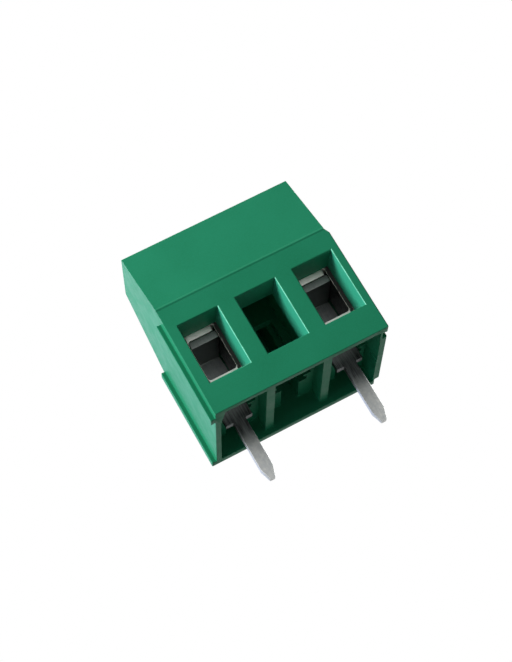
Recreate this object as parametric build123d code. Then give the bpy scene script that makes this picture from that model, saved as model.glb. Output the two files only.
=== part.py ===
"""Board terminal block, three poles at 5.08 mm, with the middle pole left empty.

Drawn in mm with x along the row and 0 at the middle pole, y = 0 on the wire entry face
and +Y to the back, and z = 0 at the rim that sits on the circuit board. The parts are
written out with the row of solder pins at y = 0.
"""

import os

from build123d import *

os.makedirs("parts", exist_ok=True)

# The row of poles
PITCH = 5.08
POLES = 3
FITTED = {"left": -PITCH, "right": PITCH}  # the poles that carry a clamp

# Outside of the housing, seen from its side
DEPTH = 11.5
HEIGHT = 15.9
FRONT_BEND_Z = 9.8  # the entry face is upright up to here
BACK_BEND_Z = 9.0  # the back is upright up to here
TOP_FRONT_Y = 2.05
TOP_BACK_Y = 8.5
BEND_R = 0.45
EDGE_R = 0.15

# Ends of the housing: ribs on the left, matching grooves on the right
LEFT_END = POLES * PITCH / 2 + 0.1  # from the middle pole to the left wall's face
RIGHT_END = POLES * PITCH - LEFT_END  # to the face that meets the next block
PLATE_T = 0.24  # how far that face stands proud of the right wall
RIB_OUT = 0.4
RIB_W = 0.9
RIB_FLARE = 0.12  # the rib is this much wider at its outer face
FRONT_RIB_Y = 1.05
RIB_TOP_Z = BACK_BEND_Z
RIB_CLEAR = 0.03
PLATE_RAMP = 0.55

# Wire windows
WINDOW_W = 3.56
WINDOW_Z = (2.5, 7.85)
REVEAL = 2.8  # depth of the funnel before the clamp's chamber

# Walls of the hollow
FRONT_WALL = 0.65
BACK_WALL = 0.8
PARTITION = 0.8
LEFT_WALL = 0.5
RIGHT_WALL = 0.6
CORNER_WEB = 0.3
SKIRT = 1.8  # height of the wide hollow over the board
PARTITION_RECESS = 0.5
ROOF_T = 1.5
POCKET_RISE = 2.6  # the hollow behind the leg follows the sloping back this far up

# Screw, M2.5 with a slotted cheese head
THREAD_D = 2.5
THREAD_PITCH = 0.45
THREAD_CLEAR = 0.04
HEAD_D = 3.5
HEAD_H = 1.8
SLOT_W = 0.6
SLOT_DEPTH = 0.9
DRIVER_HOLE_D = 3.2
LEAD_IN = 0.3  # chamfer round the mouth of the driver hole

# Clamp cage, bent from strip
CAGE_T = 0.55
CAGE_IN_W = 2.5
CAGE_DEPTH = 3.55
CAGE_FLOOR_Z = 3.65  # the wire rests on this face when the clamp is open
CAGE_R = 0.25

# Contact: current bar, leg and solder pin in one strip
BAR_T = 0.65
BAR_W = 2.4
BAR_Z = 6.65  # underside, where the wire is pressed
LIP_T = 0.35  # housing lips in front of the ears
EAR_W = 3.0
EAR_Z = (5.1, 5.9)
SHOULDER_Z = 1.0
PIN_W = 1.1
PIN_TIP_W = 0.46
PIN_L = 4.5
PIN_TAPER = 1.0

# Clearances
GAP = 0.05
OVERRUN = 1.0  # how far a cutting tool starts outside the face it cuts

# Values that follow from the ones above
ROOF_Z = HEIGHT - ROOF_T
BAR_TOP = BAR_Z + BAR_T
CAGE_IN_TOP = BAR_TOP + GAP
CAGE_TOP = CAGE_IN_TOP + 2 * CAGE_T
CAGE_Y = REVEAL + GAP
CAGE_W = CAGE_IN_W + 2 * CAGE_T
SHAFT_BACK = CAGE_Y + CAGE_DEPTH + 2 * GAP
SCREW_Y = (REVEAL + SHAFT_BACK) / 2
LEG_Y = SHAFT_BACK + LIP_T
LEG_BACK = LEG_Y + BAR_T
PIN_ROW_Y = LEG_Y + BAR_T / 2
SHAFT_W = CAGE_W + 3 * GAP  # width of the chamber that guides the cage
HOLLOW_BACK = DEPTH - BACK_WALL
BACK_SLOPE = (DEPTH - TOP_BACK_Y) / (HEIGHT - BACK_BEND_Z)
POLE_X = [(i - (POLES - 1) / 2) * PITCH for i in range(POLES)]
MIN_Z = (Align.CENTER, Align.CENTER, Align.MIN)


def box(x, y, z):
    """A block from its low and high values along each axis."""
    size = [high - low for low, high in (x, y, z)]
    return Pos(x[0], y[0], z[0]) * Box(*size, align=(Align.MIN,) * 3)


def across(centre, width):
    return centre - width / 2, centre + width / 2


def slab(points, thickness, rounds=()):
    """An outline given as (u, v) points and corner rounds, drawn up from its own plane."""
    face = make_face(Polyline(*points, close=True))
    for u, v, radius in rounds:
        corner = face.vertices().sort_by_distance((u, v, 0))[0]
        face = fillet(corner, radius)
    return extrude(face, thickness, dir=(0, 0, 1))


def side_profile(points, x_low, x_high, rounds=()):
    """A side view given as (y, z) points, drawn out along x."""
    return Plane.YZ.offset(x_low) * slab(points, x_high - x_low, rounds)


def front_profile(points, y_low, y_high):
    """A front view given as (x, z) points, drawn out along y."""
    return Plane.XZ.offset(-y_high) * slab(points, y_high - y_low)


def upright(points, z_low, z_high):
    """A plan view given as (x, y) points, drawn up along z."""
    return Pos(0, 0, z_low) * slab(points, z_high - z_low)


def rib(y_low, root, flare_front, flare_back, x_face, out, z_high):
    """One upright dovetail rib or groove, standing out of x_face towards -x."""
    y_high = y_low + root
    points = [
        (x_face + 0.1, y_low),
        (x_face, y_low),
        (x_face - out, y_low - flare_front),
        (x_face - out, y_high + flare_back),
        (x_face, y_high),
        (x_face + 0.1, y_high),
    ]
    return upright(points, 0, z_high)


def outer_block():
    profile = [
        (0, 0),
        (0, FRONT_BEND_Z),
        (TOP_FRONT_Y, HEIGHT),
        (TOP_BACK_Y, HEIGHT),
        (DEPTH, BACK_BEND_Z),
        (DEPTH, 0),
    ]
    rounds = [
        (0, FRONT_BEND_Z, BEND_R),
        (TOP_FRONT_Y, HEIGHT, EDGE_R),
        (TOP_BACK_Y, HEIGHT, EDGE_R),
        (DEPTH, BACK_BEND_Z, BEND_R),
    ]
    block = side_profile(profile, -LEFT_END, RIGHT_END - PLATE_T, rounds)

    # The right face is a raised plate with a ramp at its top, so that blocks slide together
    ramp_z = FRONT_BEND_Z - PLATE_RAMP
    x_wall = RIGHT_END - PLATE_T
    ramp = [
        (x_wall - 0.1, 0),
        (RIGHT_END, 0),
        (RIGHT_END, ramp_z),
        (x_wall, FRONT_BEND_Z - GAP),
        (x_wall - 0.1, FRONT_BEND_Z - GAP),
    ]
    plate_end = DEPTH - RIB_W - RIB_FLARE - RIB_CLEAR
    block += front_profile(ramp, 0, plate_end)

    # Ribs on the left: one behind the front edge, one flush with the back
    side = RIB_W - RIB_FLARE
    block += rib(FRONT_RIB_Y, side, RIB_FLARE, RIB_FLARE, -LEFT_END, RIB_OUT, RIB_TOP_Z)
    block += rib(DEPTH - side, side, RIB_FLARE, 0, -LEFT_END, RIB_OUT, RIB_TOP_Z)

    # Grooves on the right take the ribs of the next block with a small clearance
    groove_side = side + 2 * RIB_CLEAR
    block -= rib(
        FRONT_RIB_Y - RIB_CLEAR,
        groove_side,
        RIB_FLARE,
        RIB_FLARE,
        RIGHT_END,
        RIB_OUT + RIB_CLEAR,
        FRONT_BEND_Z,
    )
    block -= box(
        (RIGHT_END - RIB_OUT - RIB_CLEAR, RIGHT_END + OVERRUN),
        (plate_end, DEPTH + OVERRUN),
        (-OVERRUN, RIB_TOP_Z + RIB_CLEAR),
    )
    return block


def pole_hollow(x):
    """Everything taken out of the housing for one pole centred on x."""

    # Wide hollow over the board, up to a partition or to an end wall. Beside an end wall
    # it is narrower at the front
    left = x - (PITCH - PARTITION) / 2
    right = x + (PITCH - PARTITION) / 2
    left_front, right_front = left, right
    if x == POLE_X[0]:
        left = LEFT_WALL - LEFT_END
        left_front = x - WINDOW_W / 2
    if x == POLE_X[-1]:
        right = RIGHT_END - RIGHT_WALL
        right_front = x + WINDOW_W / 2
    skirt = [
        (left_front, FRONT_WALL),
        (right_front, FRONT_WALL),
        (right_front, FRONT_WALL + CORNER_WEB),
        (right, REVEAL),
        (right, HOLLOW_BACK),
        (left, HOLLOW_BACK),
        (left, REVEAL),
        (left_front, FRONT_WALL + CORNER_WEB),
    ]
    hollow = upright(skirt, -OVERRUN, SKIRT)

    # Wire window, the shaft that guides the cage, and the hole for the screwdriver
    hollow += box(across(x, WINDOW_W), (-OVERRUN, REVEAL + GAP), WINDOW_Z)
    hollow += box(across(x, SHAFT_W), (REVEAL, SHAFT_BACK), (0, ROOF_Z))
    hole_r = DRIVER_HOLE_D / 2
    hole = Cylinder(hole_r, ROOF_T + 2 * OVERRUN, align=MIN_Z)
    hole = Pos(x, SCREW_Y, ROOF_Z - OVERRUN) * hole
    lead_in = Cone(hole_r, hole_r + 2 * LEAD_IN, 2 * LEAD_IN, align=MIN_Z)
    lead_in = Pos(x, SCREW_Y, HEIGHT - LEAD_IN) * lead_in
    hollow += [hole, lead_in]

    # The contact is pushed up from below: its ears run in grooves behind two lips, and the
    # bar passes between the lips. Behind the leg the hollow follows the sloping back wall
    hollow += box(across(x, EAR_W), (LEG_Y, LEG_BACK), (0, EAR_Z[1]))
    hollow += box(across(x, BAR_W + 2 * GAP), (REVEAL, LEG_BACK), (0, BAR_TOP + GAP))
    pocket_top = BACK_BEND_Z + POCKET_RISE
    pocket_back = HOLLOW_BACK - POCKET_RISE * BACK_SLOPE
    pocket = [
        (LEG_BACK - GAP, 0),
        (HOLLOW_BACK, 0),
        (HOLLOW_BACK, BACK_BEND_Z - 0.2),
        (pocket_back, pocket_top),
        (LEG_BACK - GAP, pocket_top),
    ]
    hollow += side_profile(pocket, *across(x, BAR_W - 0.8))
    return hollow


def housing():
    body = outer_block()
    for x in POLE_X:
        body -= pole_hollow(x)
    # The partitions stop short of the board
    recess_z = (-OVERRUN, PARTITION_RECESS)
    body -= box((POLE_X[0], POLE_X[-1]), (FRONT_WALL, HOLLOW_BACK), recess_z)
    return body


def cage(x):
    """Clamp cage: a strip bent into a loop, its two ends lapped under the screw."""
    half_in = CAGE_IN_W / 2
    half_out = CAGE_W / 2
    mid_top = CAGE_IN_TOP + CAGE_T
    floor = CAGE_FLOOR_Z - CAGE_T

    def ring(half, low, high, radius):
        face = Pos(0, (low + high) / 2) * RectangleRounded(2 * half, high - low, radius)
        return Plane.XZ.offset(-CAGE_Y - CAGE_DEPTH) * extrude(face, CAGE_DEPTH)

    loop = ring(half_out, floor, CAGE_TOP, CAGE_R + CAGE_T)
    loop -= ring(half_in, CAGE_FLOOR_Z, CAGE_IN_TOP, CAGE_R)
    # The strip's inner end butts against the right wall, and shows as a notch front and back
    for y in (CAGE_Y, CAGE_Y + CAGE_DEPTH):
        loop -= box((half_in - GAP, half_in), across(y, 6 * GAP), (CAGE_IN_TOP, mid_top))
    bore = Cylinder(THREAD_D / 2, 4 * CAGE_T, align=MIN_Z)
    return Pos(x, 0, 0) * (loop - Pos(0, SCREW_Y, CAGE_IN_TOP - CAGE_T / 2) * bore)


def screw(x):
    """Clamping screw: it turns in place and its tip bears on the current bar."""
    tip_z = BAR_TOP + GAP
    head_top = ROOF_Z - 2 * GAP
    head_z = head_top - HEAD_H
    radius = THREAD_D / 2 - THREAD_CLEAR
    shank = Pos(x, SCREW_Y, tip_z) * Cylinder(radius, head_z - tip_z, align=MIN_Z)
    shank = chamfer(shank.faces().sort_by(Axis.Z)[0].edges(), 0.3)
    head = Pos(x, SCREW_Y, head_z) * Cylinder(HEAD_D / 2, HEAD_H, align=MIN_Z)
    head = fillet(head.faces().sort_by(Axis.Z)[-1].edges(), 0.25)
    slot = box(
        across(x, SLOT_W),
        across(SCREW_Y, HEAD_D + OVERRUN),
        (head_top - SLOT_DEPTH, head_top + OVERRUN),
    )
    return shank + head - slot


def contact(x):
    """Current bar, leg and solder pin, stamped and bent from one strip."""
    bar_front = CAGE_Y + GAP
    profile = [
        (bar_front, BAR_Z),
        (LEG_Y, BAR_Z),
        (LEG_Y, SHOULDER_Z),
        (LEG_BACK, SHOULDER_Z),
        (LEG_BACK, BAR_TOP),
        (bar_front, BAR_TOP),
    ]
    rounds = [(LEG_Y, BAR_Z, 0.1), (LEG_BACK, BAR_TOP, BAR_T + 0.1)]
    strip = side_profile(profile, *across(x, BAR_W), rounds)
    strip += box(across(x, EAR_W), (LEG_Y, LEG_BACK), EAR_Z)
    half = PIN_W / 2
    tip = PIN_TIP_W / 2
    taper_z = PIN_TAPER - PIN_L
    outline = [
        (x - half, SHOULDER_Z + 0.1),
        (x + half, SHOULDER_Z + 0.1),
        (x + half, taper_z),
        (x + tip, -PIN_L),
        (x - tip, -PIN_L),
        (x - half, taper_z),
    ]
    return strip + front_profile(outline, LEG_Y, LEG_BACK)


parts = {"housing": housing()}
for side, pole in FITTED.items():
    parts[f"cage_{side}"] = cage(pole)
    parts[f"screw_{side}"] = screw(pole)
    parts[f"contact_{side}"] = contact(pole)

for name, shape in parts.items():
    solid = Pos(0, -PIN_ROW_Y, 0) * shape.solid()
    export_step(solid, f"parts/{name}.step")
    print(name, [round(v, 2) for v in solid.bounding_box().size], round(solid.volume, 2), "mm3")
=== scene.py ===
# %% [markdown]
# # A board terminal block with three poles
#
# The real object is a block of green plastic, about 15 mm wide, that is soldered to a
# circuit board. Wires go in at the front windows, and a screw under the roof lifts a
# small steel cage that clamps the wire against a current bar. Here the middle pole has
# been left empty by its maker.
#
# The CAD model gives the shape and the place of all seven parts. This lesson dresses them:
# edges get the small radius that a mould or a press leaves, the screw gets its thread,
# and every part gets the finish of its real material.

# %% Load the frame
import math

import bpy
from mathutils import Matrix, Vector
from mathutils.geometry import intersect_point_line


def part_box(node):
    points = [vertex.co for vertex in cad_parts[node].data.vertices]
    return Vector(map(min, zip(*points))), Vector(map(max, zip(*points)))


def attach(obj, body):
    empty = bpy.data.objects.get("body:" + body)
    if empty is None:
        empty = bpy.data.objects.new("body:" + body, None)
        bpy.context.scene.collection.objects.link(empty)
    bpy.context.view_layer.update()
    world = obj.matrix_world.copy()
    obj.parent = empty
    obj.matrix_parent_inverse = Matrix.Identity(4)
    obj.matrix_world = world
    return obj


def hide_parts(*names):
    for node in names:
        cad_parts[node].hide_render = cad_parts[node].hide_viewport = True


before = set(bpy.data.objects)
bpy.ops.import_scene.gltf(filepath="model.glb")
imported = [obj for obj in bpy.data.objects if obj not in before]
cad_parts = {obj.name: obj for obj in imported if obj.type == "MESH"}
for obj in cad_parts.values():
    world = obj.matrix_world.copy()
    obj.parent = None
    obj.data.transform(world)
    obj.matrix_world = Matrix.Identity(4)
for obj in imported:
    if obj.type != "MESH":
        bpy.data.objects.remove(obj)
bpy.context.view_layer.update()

MM = 0.001
print("CAD parts:", sorted(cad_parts))

# %% [markdown]
# ## Sizes shared by the parts
#
# All sizes are written in millimetres, as on the drawing, and turned into metres only
# where Blender needs them. x runs along the row with 0 at the middle pole, y goes from the
# wire side to the back with 0 at the row of pins, and z goes up from the board. Where a
# part's own box gives a size it is read from there, so that it can't drift.

# %% Sizes
POLES = {"left": -5.08, "right": 5.08}
BEND_Z = 9.8  # where the upright front bends back
SILL_Z = 2.5  # the lower edge of the windows
LINTEL_Z = 7.85  # and their upper edge
WINDOW_HALF = 1.78  # half the width of a window at the front
REVEAL_Y = -4.375  # where a window ends and the chamber behind it begins
END_X = 7.15  # windows and driver holes all lie nearer to the middle than this
NEAR = 0.01  # places closer to each other than this count as the same


def box_mm(node):
    low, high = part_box(node)
    return low / MM, high / MM


FRONT_Y = box_mm("housing")[0].y
BACK_Y = box_mm("housing")[1].y
ROOF_Z = box_mm("housing")[1].z
for part in ("housing", "cage_left", "screw_left", "contact_left"):
    low, high = box_mm(part)
    print(part, [round(v, 2) for v in low], [round(v, 2) for v in high])

# %% [markdown]
# ## The camera
#
# The photograph looks at the wire side from the left and from below, with the camera
# rolled. Its place and lens were worked out from some thirty edges of the block that can
# be measured both in the picture and on the part. The three rows are the directions that
# point right, down and away from the camera.

# %% Camera
CAMERA_PLACE = (-29.395, -133.734, -43.032)
LENS = 97.31
right = Vector((0.87623, -0.01053, -0.48178))
down = Vector((-0.43814, 0.39885, -0.80558))
away = Vector((0.20064, 0.91696, 0.34487))
bpy.ops.object.camera_add()
camera = bpy.context.object
camera.name = "photo_camera"
turn = Matrix((right, -down, -away)).transposed().to_4x4()
camera.matrix_world = Matrix.Translation(Vector(CAMERA_PLACE) * MM) @ turn
camera.data.lens = LENS
camera.data.sensor_width = 36
camera.data.clip_start = 1 * MM
camera.data.clip_end = 10
bpy.context.scene.camera = camera
bpy.context.scene.view_settings.view_transform = "Standard"
print("camera", round(camera.location.length / MM), "mm from the pins")

# %% [markdown]
# ## Small helpers
#
# Blender's operators act on whatever is selected, so each step first selects exactly what
# it works on. Faces and edges are picked by where they are, which still works when a size
# changes, while picking by number would not.

# %% Helpers for modelling
SMOOTH_UP_TO = 35  # degrees between two faces that are still shaded as one surface


def only(*objects):
    """Selects these objects and nothing else, and makes the first one active."""
    bpy.ops.object.select_all(action="DESELECT")
    for item in objects:
        item.select_set(True)
    bpy.context.view_layer.objects.active = objects[0]


def start_editing(obj, kind):
    """Edit mode on one object, with kind VERT, EDGE or FACE to be picked."""
    only(obj)
    bpy.ops.object.mode_set(mode="EDIT")
    bpy.ops.mesh.select_mode(type=kind)


def stop_editing():
    bpy.ops.object.mode_set(mode="OBJECT")


def pick_edges(obj, test):
    """In edit mode, picks the edges whose two ends (mm) pass the test."""
    bpy.ops.mesh.select_all(action="DESELECT")
    stop_editing()
    picked = 0
    for edge in obj.data.edges:
        a, b = (obj.data.vertices[i].co / MM for i in edge.vertices)
        edge.select = bool(test(a, b))
        picked += edge.select
    bpy.ops.object.mode_set(mode="EDIT")
    return picked


def apply_modifier(obj, kind, **settings):
    """Adds a modifier, sets it, and turns its result into the mesh."""
    only(obj)
    modifier = obj.modifiers.new(kind.title(), kind)
    for name, value in settings.items():
        setattr(modifier, name, value)
    bpy.ops.object.modifier_apply(modifier=modifier.name)


def settle(obj):
    """Puts the object's place, turn and size into its mesh."""
    only(obj)
    bpy.ops.object.transform_apply(location=True, rotation=True, scale=True)


def finish_piece(obj, material, slot, body, *nodes):
    """Smooth shading up to an angle, the finish and the body it rides on, and hides the CAD parts
    it replaces.
    """
    only(obj)
    bpy.ops.object.shade_smooth_by_angle(angle=math.radians(SMOOTH_UP_TO))
    apply_modifier(obj, "WEIGHTED_NORMAL", keep_sharp=True, weight=100)
    obj.data.materials.clear()
    obj.data.materials.append(material)
    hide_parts(*nodes)
    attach(obj, body)
    print(obj.name, "has", len(obj.data.polygons), "faces")


# %% [markdown]
# ## From a CAD mesh to one that can be bevelled
#
# A CAD part arrives as loose triangles. A bevel needs to know which triangles share an
# edge, and flat faces should be one face each. So a copy of the mesh is merged where its
# corners coincide, and edges between triangles of one plane are dissolved.

# %% Helper for copies of CAD parts
CAD_CORNERS = 0.0005  # mm, corners of CAD triangles closer than this are merged
SAME_PLANE = 0.6  # degrees, edges between faces that differ by less are dissolved


def copy_of(node, name):
    """A copy of a CAD part with its corners merged and its flat faces whole."""
    piece = bpy.data.objects.new(name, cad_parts[node].data.copy())
    bpy.context.scene.collection.objects.link(piece)
    start_editing(piece, "VERT")
    bpy.ops.mesh.select_all(action="SELECT")
    bpy.ops.mesh.customdata_custom_splitnormals_clear()
    bpy.ops.mesh.remove_doubles(threshold=CAD_CORNERS * MM)
    bpy.ops.mesh.dissolve_limited(angle_limit=math.radians(SAME_PLANE), delimit={"SHARP"})
    bpy.ops.mesh.vert_connect_concave()
    stop_editing()
    return piece


# %% [markdown]
# A bevel as wide as the face beside it would fold that face over. So before an edge gets
# its radius, the room beside it is measured, and where that is short the radius shrinks.
# Blender's Bevel modifier takes such a share of its width from a weight on each edge.

# %% Helpers for rounded edges
SHARP_FROM = 32  # degrees between two faces whose edge gets a radius
ROOM_SHARE = 0.35  # a radius takes no more than this share of the room beside it
ENDLESS = 1e9  # mm, wider than any face


def narrowest(mesh, face, edge_key):
    """The width (mm) that a face has beside one of its edges."""
    a, b = (mesh.vertices[i].co for i in edge_key)
    width = ENDLESS
    for key in face.edge_keys:
        if set(key) & set(edge_key):
            continue
        c, d = (mesh.vertices[i].co for i in key)
        for share in (0.1, 0.5, 0.9):
            spot = a.lerp(b, share)
            near, along = intersect_point_line(spot, c, d)
            near = c if along < 0 else d if along > 1 else near
            width = min(width, (spot - near).length / MM)
    return width


def round_sharp_edges(piece, radius, segments, test=lambda a, b: True):
    """A small radius on the sharp edges that pass the test, smaller where room is short."""
    mesh = piece.data
    faces_of = {}
    for face in mesh.polygons:
        for key in face.edge_keys:
            faces_of.setdefault(key, []).append(face)
    shortest = [ENDLESS] * len(mesh.vertices)
    room = {}
    for edge in mesh.edges:
        key = tuple(sorted(edge.vertices))
        pair = faces_of.get(key, [])
        a, b = (mesh.vertices[i].co / MM for i in key)
        if len(pair) != 2:
            continue
        if pair[0].normal.angle(pair[1].normal, 0) < math.radians(SHARP_FROM):
            continue
        for i in key:
            shortest[i] = min(shortest[i], (a - b).length)
        if test(a, b):
            room[edge.index] = min(narrowest(mesh, face, key) for face in pair)
    weight = mesh.attributes.new("bevel_weight_edge", "FLOAT", "EDGE")
    for index, width in room.items():
        width = min(width, *(shortest[i] for i in mesh.edges[index].vertices))
        weight.data[index].value = min(1, ROOM_SHARE * width / radius)
    apply_modifier(
        piece,
        "BEVEL",
        width=radius * MM,
        segments=segments,
        limit_method="WEIGHT",
        use_clamp_overlap=False,
        miter_outer="MITER_ARC",
    )
    if "bevel_weight_edge" in piece.data.attributes:
        piece.data.attributes.remove(piece.data.attributes["bevel_weight_edge"])
    return len(room)


# %% [markdown]
# ## Colours and nodes
#
# Colours are given as sRGB hex values, the way a paint program shows them, while
# the shader counts light in linear steps. One function turns the one into the other. One
# more adds a node with its settings and its links, so a material reads as a short list.
# An input goes by Blender's own name for it, or by its number where names repeat.

# %% Helpers for materials
MIX_COLOURS = {"data_type": "RGBA"}  # i0 is the share of the second colour, i6 and i7 the two
TIMES = {"operation": "MULTIPLY"}
MINUS = {"operation": "SUBTRACT"}
LARGER = {"operation": "MAXIMUM"}
WITHOUT_SIGN = {"operation": "ABSOLUTE"}
NOISE_SPAN = {"From_Min": 0.3, "From_Max": 0.7}  # a Noise texture keeps mostly within these


def colour(hex_value):
    """An sRGB hex value as linear RGBA."""
    channels = [int(hex_value[i : i + 2], 16) / 255 for i in (1, 3, 5)]
    linear = [c / 12.92 if c <= 0.04045 else ((c + 0.055) / 1.055) ** 2.4 for c in channels]
    return (*linear, 1)


def add(tree, kind, settings=None, **inputs):
    """Adds a node. An input is a value, an output, or a node whose first live output is used."""
    node = tree.nodes.new(kind)
    for name, value in (settings or {}).items():
        setattr(node, name, value)
    for name, value in inputs.items():
        numbered = name[0] == "i" and name[1:].isdigit()
        socket = node.inputs[int(name[1:]) if numbered else name.replace("_", " ")]
        if isinstance(value, bpy.types.Node):
            value = next(output for output in value.outputs if output.enabled)
        if isinstance(value, bpy.types.NodeSocket):
            tree.links.new(value, socket)
        else:
            socket.default_value = value
    return node


def new_material(name):
    """An empty material with its output and its object coordinates."""
    material = bpy.data.materials.new(name)
    material.use_nodes = True
    tree = material.node_tree
    tree.nodes.clear()
    place = add(tree, "ShaderNodeTexCoord").outputs["Object"]
    return material, tree, place


def per_mm(size):
    """The texture scale whose features are about this size, in mm."""
    return 1 / (size * MM)


# %% [markdown]
# Some tones belong to one place only, such as the walls of a window. A finish finds such a
# place by coordinates and by which way the surface faces. Each test turns a value into a
# ramp from 0 to 1, and the product of the ramps is 1 only where every test holds. That
# keeps one material for the whole moulding, as the real one has, with no seams.

# %% Helper for places in a finish


def region(tree, *tests):
    """1 where all tests hold. Each is a value, where it counts as out, and where as in."""
    inside = 1
    for value, none, full in tests:
        ramp = add(tree, "ShaderNodeMapRange", Value=value, From_Min=none, From_Max=full)
        inside = add(tree, "ShaderNodeMath", TIMES, i0=ramp, i1=inside)
    return inside


def facing(tree):
    """The three parts of the direction that the surface faces."""
    normal = add(tree, "ShaderNodeTexCoord").outputs["Normal"]
    return add(tree, "ShaderNodeSeparateXYZ", Vector=normal).outputs


# %% [markdown]
# ## Green polyamide
#
# The housing is injection moulded in polyamide 66, a tough plastic with a satin face. The
# steel of the mould was spark eroded, which leaves a fine pebbled texture of about a
# tenth of a millimetre, so highlights spread and break up a little. Pigment and melt flow
# give faint clouds a few millimetres wide. The clouds and the pebbles are noise at those
# sizes, which looks the same from every side and needs no image.

# %% Housing colour
moulded_green, tree, place = new_material("polyamide_66_spark_eroded")
clouds = add(tree, "ShaderNodeTexNoise", Vector=place, Scale=per_mm(4), Detail=3)
cloudy = add(tree, "ShaderNodeMapRange", Value=clouds, **NOISE_SPAN)
body_green = add(
    tree, "ShaderNodeMix", MIX_COLOURS, i0=cloudy, i6=colour("#1A7450"), i7=colour("#1E7A56")
)
pebbles = add(tree, "ShaderNodeTexNoise", Vector=place, Scale=per_mm(0.11), Detail=2)
dots = add(tree, "ShaderNodeMapRange", Value=pebbles, **NOISE_SPAN, To_Max=0.35)
speckled = add(tree, "ShaderNodeMix", MIX_COLOURS, i0=dots, i6=body_green, i7=colour("#228460"))
print("housing colour from", len(tree.nodes), "nodes")

# %% [markdown]
# The core that forms the windows is polished, so that it draws out of the plastic. Their
# walls are painted a shade paler than the outside: painted light, for the light from the
# left that falls into the windows. The edge where such a wall meets the front is the one
# that the key light glances off. It is less than a tenth of a millimetre wide, too fine to
# catch a highlight by itself at this size of picture, so it gets a painted highlight, a
# pale tone broken up by the clouds of the melt.

# %% Window walls and their edges
SOFT = 0.05  # mm, and a tone that belongs to one place fades out over a few of these
axes = add(tree, "ShaderNodeSeparateXYZ", Vector=place).outputs
faces = facing(tree)
off_middle = add(tree, "ShaderNodeMath", WITHOUT_SIGN, i0=axes["X"])
to_front_or_back = add(tree, "ShaderNodeMath", WITHOUT_SIGN, i0=faces["Y"])
between_ends = (off_middle, (END_X + SOFT) * MM, (END_X - SOFT) * MM)
# Painted light: the walls of the windows get a paler green for the light that falls into them.
lit_wall_mask = region(
    tree,
    between_ends,
    (to_front_or_back, 0.6, 0.3),
    (axes["Y"], (REVEAL_Y + 1.5 * SOFT) * MM, (REVEAL_Y - 0.5 * SOFT) * MM),
    (axes["Z"], (SILL_Z - 4 * SOFT) * MM, (SILL_Z - 2 * SOFT) * MM),
    (axes["Z"], (LINTEL_Z + 4 * SOFT) * MM, (LINTEL_Z + 2 * SOFT) * MM),
)
walls_with_painted_light = add(
    tree, "ShaderNodeMix", MIX_COLOURS, i0=lit_wall_mask, i6=speckled, i7=colour("#2E8E70")
)
flow = add(tree, "ShaderNodeTexNoise", Vector=place, Scale=per_mm(0.9), Detail=2)
# Painted highlight: a pale tone along the edges where the window walls meet the front.
edge_highlight_mask = region(
    tree,
    between_ends,
    (faces["X"], -0.25, -0.45),
    (faces["Y"], -0.15, -0.35),
    (axes["Y"], (FRONT_Y + 4 * SOFT) * MM, (FRONT_Y + 3 * SOFT) * MM),
    (flow.outputs[0], 0.1, 0.6),
)
green = add(tree, "ShaderNodeMix", MIX_COLOURS, i0=edge_highlight_mask, i6=walls_with_painted_light, i7=colour("#74C8A8"))
print("window walls up to x", END_X, "mm")

# %% [markdown]
# Two halves of the mould meet where the front bends back, and leave a fine bead there. It
# is a few hundredths of a millimetre high, so it is drawn in the shading, by a second Bump
# node that builds on the one of the pebbles. Polyamide's index of refraction is 1.53. Its
# gloss is set low, because the whole surroundings are white here, and a pebbled face
# mirrors only a little of them.

# %% Housing relief and shader
BEAD_HALF = 0.16  # half its width
BEAD_HEIGHT = 0.06
pebbled = add(tree, "ShaderNodeBump", Height=pebbles, Strength=0.25, Distance=0.012 * MM)
from_bend = add(tree, "ShaderNodeMath", MINUS, i0=axes["Z"], i1=BEND_Z * MM)
beside = add(tree, "ShaderNodeMath", WITHOUT_SIGN, i0=from_bend)
bead = region(
    tree,
    (beside, BEAD_HALF * MM, 0),
    (axes["Y"], (FRONT_Y + 7.5 * SOFT) * MM, (FRONT_Y + 3.5 * SOFT) * MM),
)
relief = add(
    tree, "ShaderNodeBump", Height=bead, Strength=1, Distance=BEAD_HEIGHT * MM, Normal=pebbled
)
satin = add(tree, "ShaderNodeMapRange", Value=flow, **NOISE_SPAN, To_Min=0.46, To_Max=0.56)
shader = add(tree, "ShaderNodeBsdfPrincipled", Base_Color=green, Roughness=satin, Normal=relief)
shader.inputs["IOR"].default_value = 1.53
shader.inputs["Specular IOR Level"].default_value = 0.1
add(tree, "ShaderNodeOutputMaterial", Surface=shader)
print("housing finish", moulded_green.name)

# %% [markdown]
# ## Tinned brass
#
# Contacts are stamped from brass strip and tin plated. Tin is a soft, slightly warm grey
# with a matte face, because the plating is made of tiny crystals. Rolling leaves faint
# lines along the strip, here along z. Real rolling lines are about 0.02 mm wide, too fine
# for the picture, so they are drawn 0.07 mm wide.
#
# The strip isn't equally bright all along, and that is painted shade. The pin keeps its
# plain tin down to its tip, the shoulders at the mouth of the hollow are painted dark for
# the shade there and the dark hollow that they mirror, the leg and bar inside are painted
# darker, and the bar, inside the cage, a little darker again. A Color Ramp over the height
# holds those tones.

# %% Contact finish
TONES_LOW = -2  # the height, in mm, at the ramp's 0
TONES_HIGH = 8  # and at its 1
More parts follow.
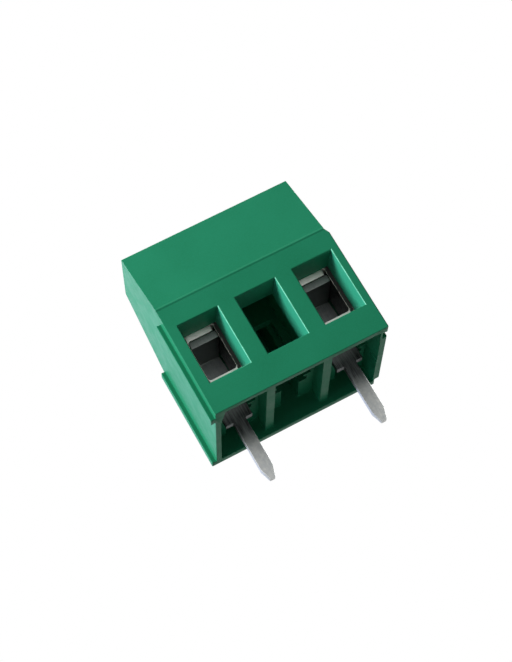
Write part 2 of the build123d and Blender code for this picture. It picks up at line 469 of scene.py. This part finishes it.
# Painted shade: the tin darkens from the pin's tip, most at the shoulders, less on the leg, and a
# little more again on the bar.
SHADE_TONES = (
    # share of the way from the one to the other, tone
    (0.06, "#FFFFFF"),
    (0.19, "#606466"),
    (0.25, "#34383A"),
    (0.33, "#34383A"),
    (0.44, "#A2A6A8"),
    (0.83, "#A2A6A8"),
    (0.87, "#909894"),
)
tinned_brass, tree, place = new_material("brass_matte_tinned")
crystals = add(tree, "ShaderNodeTexNoise", Vector=place, Scale=per_mm(0.25), Detail=3)
patchy = add(tree, "ShaderNodeMapRange", Value=crystals, **NOISE_SPAN)
tin = add(
    tree, "ShaderNodeMix", MIX_COLOURS, i0=patchy, i6=colour("#A5A8A8"), i7=colour("#B9BAB6")
)
height = add(
    tree,
    "ShaderNodeMapRange",
    Value=add(tree, "ShaderNodeSeparateXYZ", Vector=place).outputs["Z"],
    From_Min=TONES_LOW * MM,
    From_Max=TONES_HIGH * MM,
)
tones = add(tree, "ShaderNodeValToRGB", Fac=height)
for position, _ in SHADE_TONES[2:]:
    tones.color_ramp.elements.new(position)
for element, (position, tone) in zip(tones.color_ramp.elements, SHADE_TONES):
    element.position = position
    element.color = colour(tone)
plated = add(
    tree, "ShaderNodeMix", {**MIX_COLOURS, "blend_type": "MULTIPLY"}, i0=1, i6=tin, i7=tones
)
print("contact tones", len(tones.color_ramp.elements))

# %% Contact lines and shader
stretch = add(
    tree, "ShaderNodeMapping", Vector=place, Scale=(per_mm(0.07), per_mm(0.07), per_mm(1.4))
)
lines = add(tree, "ShaderNodeTexNoise", Vector=stretch, Scale=1, Detail=3)
faint = add(tree, "ShaderNodeMapRange", Value=lines, **NOISE_SPAN, To_Max=0.4)
rolled = add(tree, "ShaderNodeMix", MIX_COLOURS, i0=faint, i6=plated, i7=colour("#8F9394"))
matte = add(tree, "ShaderNodeMapRange", Value=lines, **NOISE_SPAN, To_Min=0.36, To_Max=0.5)
relief = add(tree, "ShaderNodeBump", Height=lines, Strength=0.3, Distance=0.006 * MM)
shader = add(
    tree, "ShaderNodeBsdfPrincipled", Base_Color=rolled, Roughness=matte, Normal=relief
)
shader.inputs["Metallic"].default_value = 1
add(tree, "ShaderNodeOutputMaterial", Surface=shader)
print("contact finish", tinned_brass.name)

# %% [markdown]
# ## Plated steel
#
# Cages are bent from zinc plated steel strip. The plating is bright, a little mottled,
# and warmer than tin, with fine lines from rolling, which follow the strip round the loop
# and so lie side by side along y. They too are drawn coarser than they are, 0.06 mm wide.
#
# The walls of the cage are painted dark, as painted shade: they lie in shadow within the
# window. Their cut sides are torn and rough, and they are painted as dark as the flat
# faces. The rounded corners between them get a painted highlight, and the middle of the
# loop, with the lapped ends at the top, is bright zinc painted paler still, as painted
# light. That makes the cage look black behind a bright rim.

# %% Cage finish
LAP_HALF = 1.2  # the lapped ends reach this far from the pole, and the walls begin there
plated_strip, tree, place = new_material("steel_strip_zinc_plated")
mottle = add(tree, "ShaderNodeTexNoise", Vector=place, Scale=per_mm(0.5), Detail=4)
mottled = add(tree, "ShaderNodeMapRange", Value=mottle, **NOISE_SPAN)
zinc = add(
    tree, "ShaderNodeMix", MIX_COLOURS, i0=mottled, i6=colour("#ABA9A1"), i7=colour("#C6C3BA")
)
# Painted light: the middle of the loop, bright zinc, is mixed paler still.
laps_with_painted_light = add(tree, "ShaderNodeMix", MIX_COLOURS, i0=0.6, i6=zinc, i7=colour("#F4F4F0"))
faces = facing(tree)
to_front = add(tree, "ShaderNodeMath", WITHOUT_SIGN, i0=faces["Y"])
to_side = add(tree, "ShaderNodeMath", WITHOUT_SIGN, i0=faces["X"])
flat = add(tree, "ShaderNodeMath", LARGER, i0=to_front, i1=to_side)
across = add(tree, "ShaderNodeSeparateXYZ", Vector=place).outputs["X"]
off_middle = add(tree, "ShaderNodeMath", WITHOUT_SIGN, i0=across)
off_pole = add(tree, "ShaderNodeMath", MINUS, i0=off_middle, i1=POLES["right"] * MM)
off_axis = add(tree, "ShaderNodeMath", WITHOUT_SIGN, i0=off_pole)
at_wall = (off_axis, LAP_HALF * MM, (LAP_HALF + SOFT) * MM)
# Painted highlight on the rounded corners of the walls.
corners = add(
    tree,
    "ShaderNodeMix",
    MIX_COLOURS,
    i0=region(tree, at_wall),
    i6=laps_with_painted_light,
    i7=colour("#EAE6DC"),
)
# Painted shade on the walls' flat faces and cut sides.
painted_shade_on_walls = region(tree, at_wall, (flat, 0.985, 0.999))
steel = add(tree, "ShaderNodeMix", MIX_COLOURS, i0=painted_shade_on_walls, i6=corners, i7=colour("#3A3A38"))
print("cage walls begin", LAP_HALF, "mm from the pole")

# %% Cage grain and shader
stretch = add(
    tree, "ShaderNodeMapping", Vector=place, Scale=(per_mm(0.9), per_mm(0.06), per_mm(0.9))
)
grain = add(tree, "ShaderNodeTexNoise", Vector=stretch, Scale=1, Detail=2)
smooth = add(tree, "ShaderNodeMapRange", Value=grain, **NOISE_SPAN, To_Min=0.24, To_Max=0.38)
torn = add(tree, "ShaderNodeMapRange", Value=to_front, From_Min=0.6, From_Max=0.7, To_Max=0.6)
relief = add(tree, "ShaderNodeBump", Height=grain, Strength=0.25, Distance=0.006 * MM)
shader = add(
    tree,
    "ShaderNodeBsdfPrincipled",
    Base_Color=steel,
    Roughness=add(tree, "ShaderNodeMath", LARGER, i0=smooth, i1=torn),
    Normal=relief,
)
shader.inputs["Metallic"].default_value = 1
add(tree, "ShaderNodeOutputMaterial", Surface=shader)
print("cage finish", plated_strip.name)

# %% [markdown]
# The screws are turned from bar and then zinc plated, so their heads show fine rings round
# the axis. A Wave texture in ring form draws them. It is centred on its own screw by a
# Mapping node, which is why each screw has a material of its own. The slot is sawn last.
# Its walls and floor are painted darker than the head, as painted shade, so that it can be
# made out from above.

# %% Screw finish
SLOT_W = 0.6
SLOT_DEPTH = 0.9


def turned_zinc(side, axis_x, axis_y, top_z):
    """Zinc plated steel with turning rings round one screw's axis, places in mm."""
    material, tree, place = new_material(f"steel_turned_zinc_plated_{side}")
    centred = add(
        tree, "ShaderNodeMapping", Vector=place, Location=(-axis_x * MM, -axis_y * MM, 0)
    )
    wave = add(
        tree,
        "ShaderNodeTexWave",
        {"wave_type": "RINGS", "rings_direction": "Z"},
        Vector=centred,
        Scale=per_mm(0.04) / 20,  # a Wave texture has 20 radians in a unit
        Distortion=1.5,
        Detail=2,
    )
    rings = wave.outputs["Fac"]
    mottle = add(tree, "ShaderNodeTexNoise", Vector=place, Scale=per_mm(0.6), Detail=3)
    mottled = add(tree, "ShaderNodeMapRange", Value=mottle, **NOISE_SPAN)
    zinc = add(
        tree, "ShaderNodeMix", MIX_COLOURS, i0=mottled, i6=colour("#A9ACAC"), i7=colour("#C6C8C4")
    )
    spot = add(tree, "ShaderNodeSeparateXYZ", Vector=centred).outputs
    off_axis = add(tree, "ShaderNodeMath", WITHOUT_SIGN, i0=spot["X"])
    floor_z = top_z - SLOT_DEPTH
    # Painted shade in the slot: its walls and floor are drawn darker than the head.
    painted_slot_shade = region(
        tree,
        (off_axis, (SLOT_W / 2 + SOFT) * MM, SLOT_W / 2 * MM),
        (spot["Z"], (top_z - 4 * SOFT) * MM, (floor_z + SOFT) * MM),
        (spot["Z"], (floor_z - 2 * SOFT) * MM, (floor_z - SOFT) * MM),
    )
    metal = add(tree, "ShaderNodeMix", MIX_COLOURS, i0=painted_slot_shade, i6=zinc, i7=colour("#4C4E4E"))
    smooth = add(
        tree, "ShaderNodeMapRange", Value=rings, **NOISE_SPAN, To_Min=0.22, To_Max=0.36
    )
    relief = add(tree, "ShaderNodeBump", Height=rings, Strength=0.3, Distance=0.005 * MM)
    shader = add(
        tree, "ShaderNodeBsdfPrincipled", Base_Color=metal, Roughness=smooth, Normal=relief
    )
    shader.inputs["Metallic"].default_value = 1
    add(tree, "ShaderNodeOutputMaterial", Surface=shader)
    return material


# %% [markdown]
# ## The housing
#
# The housing is one moulding, and its CAD shape is right, but its edges are knife sharp
# and the walls of its windows run straight in. On the real one the core of the mould
# tapers, so that it draws out, and each window is a little narrower at its deep end. The
# two deep edges of each window are moved inwards for that. Moving edges that exist keeps
# every face that touches them, where a new cut would have to be joined up again.

# %% Tapered windows
DRAFT = 0.2  # how far each side wall leans in at its deep edge
housing = copy_of("housing", "housing_moulding")
for pole_x in (POLES["left"], 0, POLES["right"]):
    for sign in (-1, 1):
        wall_x = pole_x + sign * WINDOW_HALF

        def deep_edge(a, b):
            off = [max(abs(end.x - wall_x), abs(end.y - REVEAL_Y)) for end in (a, b)]
            return max(off) < NEAR

        start_editing(housing, "EDGE")
        picked = pick_edges(housing, deep_edge)
        bpy.ops.transform.translate(value=(-sign * DRAFT * MM, 0, 0))
        stop_editing()
        print("tapered a wall of the window at", pole_x, "by", picked, "edges")

# %% [markdown]
# A moulded edge has a radius of about a tenth of a millimetre, and that is what catches
# the light along every edge in the picture. It could be faked in the shading, but a real
# radius also shows in other views, so the edges are bevelled.
# Edges in the hollow are left alone, because they lie in the dark, and so are the rims of
# the driver holes, which have a chamfer already.
#
# Where edges with unlike angles meet, a bevel can push a corner a hundredth of a
# millimetre outwards. Such corners are pressed flat again at the front and at the back, so
# that the housing keeps its depth.

# %% Rounded edges of the housing
MOULDED_R = 0.09
HOLLOW = ((-7.1, 6.9), (-6.4, 3.4), (0.6, 14.5))  # what it spans in x, y and z
RIMS_Y = (-4.6, -0.4)  # the driver holes with their chamfers lie between these


def outside(a, b):
    """True unless an edge is in the hollow, or on the chamfered rim of a driver hole."""
    spot = (a + b) / 2
    in_hollow = all(low < value < high for value, (low, high) in zip(spot, HOLLOW))
    among_rims = RIMS_Y[0] < spot.y < RIMS_Y[1] and abs(spot.x) < END_X
    return not in_hollow and not (among_rims and spot.z > ROOF_Z - NEAR)


print("rounded", round_sharp_edges(housing, MOULDED_R, 2, test=outside), "housing edges")
for limit, beyond in (
    (FRONT_Y, lambda vertex: vertex.co.y < FRONT_Y * MM),
    (BACK_Y, lambda vertex: vertex.co.y > BACK_Y * MM),
):
    start_editing(housing, "VERT")
    bpy.ops.mesh.select_all(action="DESELECT")
    stop_editing()
    for vertex in housing.data.vertices:
        vertex.select = beyond(vertex)
    bpy.ops.object.mode_set(mode="EDIT")
    bpy.ops.transform.resize(value=(1, 0, 1), center_override=(0, limit * MM, 0))
    stop_editing()
print("housing depth", round(housing.dimensions.y / MM, 3), "mm")
finish_piece(housing, moulded_green, "housing_pa66", "block", "housing")

# %% [markdown]
# ## The contacts
#
# Each contact is one strip: a current bar over the wire, a leg down the back of the
# chamber with two ears that hold it in the housing, and the pin that is soldered. The
# press rounds the edges a little, so they get a small radius as the housing's did.

# %% Contacts
PRESSED_R = 0.07
for side in POLES:
    contact = copy_of(f"contact_{side}", f"contact_{side}_strip")
    rounded = round_sharp_edges(contact, PRESSED_R, 2)
    print("rounded", rounded, "contact edges")
    finish_piece(contact, tinned_brass, "contact_tin", "block", f"contact_{side}")

# %% [markdown]
# ## The clamp cages
#
# A cage is a strip of steel bent four times into a loop, with both ends lying over each
# other at the top, where the screw's thread is cut through them. It is made here the way
# the press makes it: the end of the strip is drawn as a rectangle, pulled out to the
# first bend, spun round the bend, pulled out again, and so on round the loop.

# %% Cages
STRIP = 0.55  # its thickness
INSIDE_R = 0.25  # of the bends
LAP_GAP = 0.2  # between the inner end of the strip and the wall it points at
END_SHORT = 0.05  # the outer end stops this far short of the cage's side
SEAM = 0.02  # between the two ends that lie over each other
SAME_CORNER = 0.001  # corners closer than this are merged
cage_low, cage_high = box_mm("cage_left")
screw_low, screw_high = box_mm("screw_left")
screw_y = (screw_low.y + screw_high.y) / 2


def pull(dx, dz):
    """Pulls the picked end of the strip out by this many mm."""
    bpy.ops.mesh.extrude_region_move(TRANSFORM_OT_translate={"value": (dx * MM, 0, dz * MM)})


def bend(x, z):
    """Turns the picked end a quarter round a bend centred on x and z, in mm."""
    bpy.ops.mesh.spin(
        steps=6, angle=math.radians(90), center=(x * MM, 0, z * MM), axis=(0, 1, 0)
    )


def strip_cage(name):
    """The loop of strip, for the left pole."""
    half_in = (cage_high.x - cage_low.x) / 2 - STRIP
    centre_x = (cage_high.x + cage_low.x) / 2
    bend_x = half_in - INSIDE_R
    lap_z = cage_high.z - STRIP
    depth = cage_high.y - cage_low.y
    start_z = lap_z - SEAM - STRIP / 2
    start = Vector((half_in - LAP_GAP, (cage_low.y + cage_high.y) / 2, start_z))
    bpy.ops.object.select_all(action="DESELECT")
    bpy.ops.mesh.primitive_plane_add(
        size=MM, location=start * MM, rotation=(0, math.radians(90), 0)
    )
    piece = bpy.context.object
    piece.name = name
    piece.scale = (STRIP, depth, 1)
    settle(piece)
    start_editing(piece, "FACE")
    bpy.ops.mesh.select_all(action="SELECT")
    inner_z = lap_z - SEAM - STRIP - INSIDE_R
    floor_z = cage_low.z + STRIP + INSIDE_R
    outer_z = lap_z - INSIDE_R
    pull(-bend_x - start.x, 0)
    bend(-bend_x, inner_z)
    pull(0, floor_z - inner_z)
    bend(-bend_x, floor_z)
    pull(2 * bend_x, 0)
    bend(bend_x, floor_z)
    pull(0, outer_z - floor_z)
    bend(bend_x, outer_z)
    pull(-bend_x - half_in - STRIP + END_SHORT, 0)
    bpy.ops.mesh.select_all(action="SELECT")
    bpy.ops.mesh.remove_doubles(threshold=SAME_CORNER * MM)
    bpy.ops.mesh.normals_make_consistent(inside=False)
    bpy.ops.transform.translate(value=(centre_x * MM, 0, 0))
    stop_editing()
    return piece


cage_left = strip_cage("cage_left_strip")
print("cage drawn", [round(v / MM, 2) for v in cage_left.dimensions])

# %% [markdown]
# The tapped hole goes through both ends of the strip. A drill is made as a cylinder and
# taken away with a Boolean modifier, which is how such a hole is made in the workshop too.
# The screw hides the thread inside it, so here the hole is plain.

# %% Tapped hole and rounded edges
THREAD_R = 1.25  # half of the 2.5 mm that an M2.5 thread measures over its crests
DRILL_LENGTH = 1.6
STRIP_R = 0.1
bpy.ops.object.select_all(action="DESELECT")
bpy.ops.mesh.primitive_cylinder_add(
    vertices=48,
    radius=THREAD_R * MM,
    depth=DRILL_LENGTH * MM,
    location=Vector((POLES["left"], screw_y, cage_high.z - STRIP)) * MM,
)
drill = bpy.context.object
settle(drill)
apply_modifier(cage_left, "BOOLEAN", object=drill, operation="DIFFERENCE", solver="EXACT")
bpy.data.objects.remove(drill)
print("rounded", round_sharp_edges(cage_left, STRIP_R, 3), "cage edges")

cage_right = cage_left.copy()
cage_right.data = cage_left.data.copy()
cage_right.name = "cage_right_strip"
bpy.context.scene.collection.objects.link(cage_right)
cage_right.location.x = (POLES["right"] - POLES["left"]) * MM
settle(cage_right)
finish_piece(cage_left, plated_strip, "cage_steel", "left_cage", "cage_left")
finish_piece(cage_right, plated_strip, "cage_steel", "right_cage", "cage_right")

# %% [markdown]
# ## The clamping screws
#
# The screw is an M2.5 with a slotted cheese head. Its thread is a V-shaped groove that
# climbs 0.45 mm each turn. A thread is a flat profile swept round an axis while it
# climbs, which is exactly what the Screw modifier does, so only one turn's profile is
# drawn: root, flank, crest, flank. The profile is pulled out point by point from a plane
# that was merged to a single corner.

# %% Thread
PITCH_OF_THREAD = 0.45
ROOT_FLAT, FLANK, CREST_FLAT = 0.15, 0.375, 0.1  # their heights as shares of the pitch
CREST_R = 1.21  # a little under THREAD_R, so that the screw turns freely in its hole
ROOT_R = 0.97
TIP = 0.25  # the length of the plain end
HEAD_H = 1.8
ON_PLANE = 0.0001  # corners closer than this to a cut count as lying on it
OVERLAP = 0.1  # how far the shank reaches into the head, and the tip into the shank
head_z = screw_high.z - HEAD_H


def step_by(dx, dz):
    """Pulls the picked corner on by this many mm, which draws one line of the profile."""
    bpy.ops.mesh.extrude_vertices_move(
        TRANSFORM_OT_translate={"value": (dx * MM, 0, dz * MM)}
    )


def threaded_shank(name):
    """The thread from the tip up into the head, closed at both ends."""
    bpy.ops.object.select_all(action="DESELECT")
    bpy.ops.mesh.primitive_plane_add(size=MM)
    piece = bpy.context.object
    piece.name = name
    start_editing(piece, "VERT")
    bpy.ops.mesh.select_all(action="SELECT")
    bpy.ops.mesh.merge(type="CENTER")
    low = screw_low.z - PITCH_OF_THREAD
    bpy.ops.transform.translate(value=(ROOT_R * MM, 0, low * MM))
    flank = PITCH_OF_THREAD * FLANK
    step_by(0, PITCH_OF_THREAD * ROOT_FLAT)
    step_by(CREST_R - ROOT_R, flank)
    step_by(0, PITCH_OF_THREAD * CREST_FLAT)
    step_by(ROOT_R - CREST_R, flank)
    stop_editing()
    turns = math.ceil((head_z - low) / PITCH_OF_THREAD)
    apply_modifier(
        piece,
        "SCREW",
        angle=math.radians(360),
        screw_offset=PITCH_OF_THREAD * MM,
        iterations=turns,
        steps=32,
        render_steps=32,
        use_merge_vertices=True,
        merge_threshold=SAME_CORNER * MM,
    )
    for height, keep_above in ((screw_low.z + TIP, True), (head_z + OVERLAP, False)):
        start_editing(piece, "VERT")
        bpy.ops.mesh.select_all(action="SELECT")
        bpy.ops.mesh.remove_doubles(threshold=SAME_CORNER * MM)
        bpy.ops.mesh.bisect(
            plane_co=(0, 0, height * MM),
            plane_no=(0, 0, 1),
            use_fill=True,
            threshold=ON_PLANE * MM,
            clear_inner=keep_above,
            clear_outer=not keep_above,
        )
        stop_editing()
    start_editing(piece, "VERT")
    bpy.ops.mesh.select_all(action="SELECT")
    bpy.ops.mesh.normals_make_consistent(inside=False)
    stop_editing()
    return piece


shank = threaded_shank("screw_left_turned")
print("thread", len(shank.data.polygons), "faces,", round(shank.dimensions.z / MM, 2), "mm")

# %% [markdown]
# The end that bears on the current bar is turned plain and a little tapered. The head is
# a cylinder with a rounded top edge, and its slot is sawn out with a box and a Boolean.
# Tip and head are joined to the shank, because on the real screw they are one piece.

# %% Head and tip
HEAD_R = (screw_high.x - screw_low.x) / 2
TIP_R = 0.84
HEAD_EDGE_R = 0.25
SAWN_EDGE_R = 0.04
SAW_BEYOND = 1  # how much larger the saw is than the slot, where it leaves the head

bpy.ops.object.select_all(action="DESELECT")
bpy.ops.mesh.primitive_cone_add(
    vertices=32,
    radius1=TIP_R * MM,
    radius2=ROOT_R * MM,
    depth=(TIP + OVERLAP) * MM,
    location=(0, 0, (screw_low.z + (TIP + OVERLAP) / 2) * MM),
)
tip = bpy.context.object
settle(tip)

bpy.ops.object.select_all(action="DESELECT")
bpy.ops.mesh.primitive_cylinder_add(
    vertices=64, radius=HEAD_R * MM, depth=HEAD_H * MM, location=(0, 0, (head_z + HEAD_H / 2) * MM)
)
head = bpy.context.object
settle(head)
start_editing(head, "EDGE")
top_edges = pick_edges(head, lambda a, b: min(a.z, b.z) > screw_high.z - NEAR)
bpy.ops.mesh.bevel(offset=HEAD_EDGE_R * MM, segments=5, affect="EDGES")
stop_editing()

bpy.ops.object.select_all(action="DESELECT")
bpy.ops.mesh.primitive_cube_add(
    size=MM, location=(0, 0, (screw_high.z - SLOT_DEPTH / 2 + SAW_BEYOND / 2) * MM)
)
saw = bpy.context.object
saw.scale = (SLOT_W, 2 * HEAD_R + SAW_BEYOND, SLOT_DEPTH + SAW_BEYOND)
settle(saw)
apply_modifier(head, "BOOLEAN", object=saw, operation="DIFFERENCE", solver="EXACT")
bpy.data.objects.remove(saw)
above_floor = screw_high.z - SLOT_DEPTH + NEAR
lips = round_sharp_edges(head, SAWN_EDGE_R, 2, test=lambda a, b: min(a.z, b.z) > above_floor)
print("head with", top_edges, "top edges and", lips, "slot edges rounded")

only(shank, tip, head)
bpy.ops.object.join()
shank.location = Vector((POLES["left"], screw_y, 0)) * MM
settle(shank)
screw_right = shank.copy()
screw_right.data = shank.data.copy()
screw_right.name = "screw_right_turned"
bpy.context.scene.collection.objects.link(screw_right)
screw_right.location.x = (POLES["right"] - POLES["left"]) * MM
settle(screw_right)
for side, screw in (("left", shank), ("right", screw_right)):
    finish = turned_zinc(side, POLES[side], screw_y, screw_high.z)
    finish_piece(screw, finish, "screw_steel", f"{side}_screw", f"screw_{side}")

# %% [markdown]
# ## Floor
#
# The floor is a pale sheet at the tips of the pins. The photograph looks from below it,
# so its underside lets the view through, and what is seen behind the block is the white
# world. Away from the block the sheet fades into that white, so no horizon shows, and
# near the block it keeps the shadow.

# %% Floor
SHEET = 1200  # each side of it
FADE_FROM, FADE_TO = 20, 70  # from the middle of the sheet
bpy.ops.object.select_all(action="DESELECT")
pin_tip = box_mm("contact_left")[0].z
bpy.ops.mesh.primitive_plane_add(size=SHEET * MM, location=(0, 0, pin_tip * MM))
floor = bpy.context.object
floor.name = "pale_floor"
paper, tree, place = new_material("matte_white_card")
fibre = add(tree, "ShaderNodeTexNoise", Vector=place, Scale=per_mm(1.5), Detail=3)
woolly = add(tree, "ShaderNodeMapRange", Value=fibre, **NOISE_SPAN)
card = add(
    tree, "ShaderNodeMix", MIX_COLOURS, i0=woolly, i6=colour("#E9E9E6"), i7=colour("#F0F0EE")
)
matte = add(tree, "ShaderNodeBsdfPrincipled", Base_Color=card, Roughness=0.9)
clear = add(tree, "ShaderNodeBsdfTransparent")
below = add(tree, "ShaderNodeNewGeometry").outputs["Backfacing"]
reach = add(tree, "ShaderNodeVectorMath", {"operation": "LENGTH"}, i0=place).outputs["Value"]
far = region(tree, (reach, FADE_FROM * MM, FADE_TO * MM))
gone = add(tree, "ShaderNodeMath", LARGER, i0=below, i1=far)
sheet = add(tree, "ShaderNodeMixShader", i0=gone, i1=matte, i2=clear)
add(tree, "ShaderNodeOutputMaterial", Surface=sheet)
floor.data.materials.append(paper)
floor.visible_diffuse = False
floor.visible_glossy = False
floor.visible_shadow = False
print("floor at", round(pin_tip, 2), "mm")

# %% [markdown]
# ## Light
#
# The light is soft, from large square lamps. The key lamp stands in front, on the block's
# left and above it, which makes the left end the bright side and leaves the window
# ceilings dark. A weak bluish lamp behind on the left glances off that end. The other two
# lamps behind stand right of the middle and light the back and the roof, which the
# photograph doesn't show: from there they don't reach the faces that it does show.

# %% Lamps
LAMPS = {
    # name: (direction from the block, distance in mm, size in mm, watts, tint)
    "key": ((-1.7, -1, 0.97), 220, 80, 0.80, (0.95, 0.95, 1)),
    "left": ((-1, -0.15, 0.15), 220, 160, 0.14, (0.6, 0.8, 1)),
    "front_left": ((-1.2, -1, 0.1), 220, 120, 0.07, (0.9, 0.9, 1)),
    "back_left": ((-0.2, 0.9, 0.35), 240, 200, 0.12, (0.35, 0.5, 1)),
    "back_right": ((0.9, 0.9, 0.3), 240, 160, 0.4, (1, 1, 1)),
    "back_top": ((0.2, 1, 0.9), 240, 160, 0.35, (1, 1, 1)),
    "right": ((1, -0.5, 0), 220, 160, 0.05, (1, 1, 1)),
    "below": ((-0.1, -0.3, -1), 220, 160, 0.015, (1, 1, 1)),
}
middle = Vector((0, -1.4, 6)) * MM
for name, (towards, distance, size, watts, tint) in LAMPS.items():
    direction = Vector(towards).normalized()
    bpy.ops.object.select_all(action="DESELECT")
    bpy.ops.object.light_add(type="AREA", location=middle + direction * distance * MM)
    lamp = bpy.context.object
    lamp.name = f"soft_{name}"
    lamp.rotation_mode = "QUATERNION"
    lamp.rotation_quaternion = direction.to_track_quat("Z", "Y")
    lamp.data.size = size * MM
    lamp.data.energy = watts
    lamp.data.color = tint
    print(lamp.name, watts, "W")

# %% [markdown]
# ## World
#
# The photograph has a plain white background. The camera sees the world as white at a
# strength of 1, which the picture shows as pure white, and so do mirror-like and clear
# surfaces, so that the metal reflects the same white room. The light that falls on the
# block from the world is a separate, weak one, so the background can be white without
# washing out the shadows in the windows.

# %% World
world = bpy.data.worlds.new("light_tent")
bpy.context.scene.world = world
world.use_nodes = True
tree = world.node_tree
tree.nodes.clear()
ray = add(tree, "ShaderNodeLightPath").outputs
mirrored = add(
    tree, "ShaderNodeMath", LARGER, i0=ray["Is Glossy Ray"], i1=ray["Is Transmission Ray"]
)
shown = add(tree, "ShaderNodeMath", LARGER, i0=ray["Is Camera Ray"], i1=mirrored)
white = add(tree, "ShaderNodeBackground", Color=(1, 1, 1, 1), Strength=1)
tent = add(tree, "ShaderNodeBackground", Color=(0.96, 0.98, 1, 1), Strength=0.06)
both = add(tree, "ShaderNodeMixShader", i0=shown, i1=tent, i2=white)
add(tree, "ShaderNodeOutputWorld", Surface=both)
print("world", world.name)
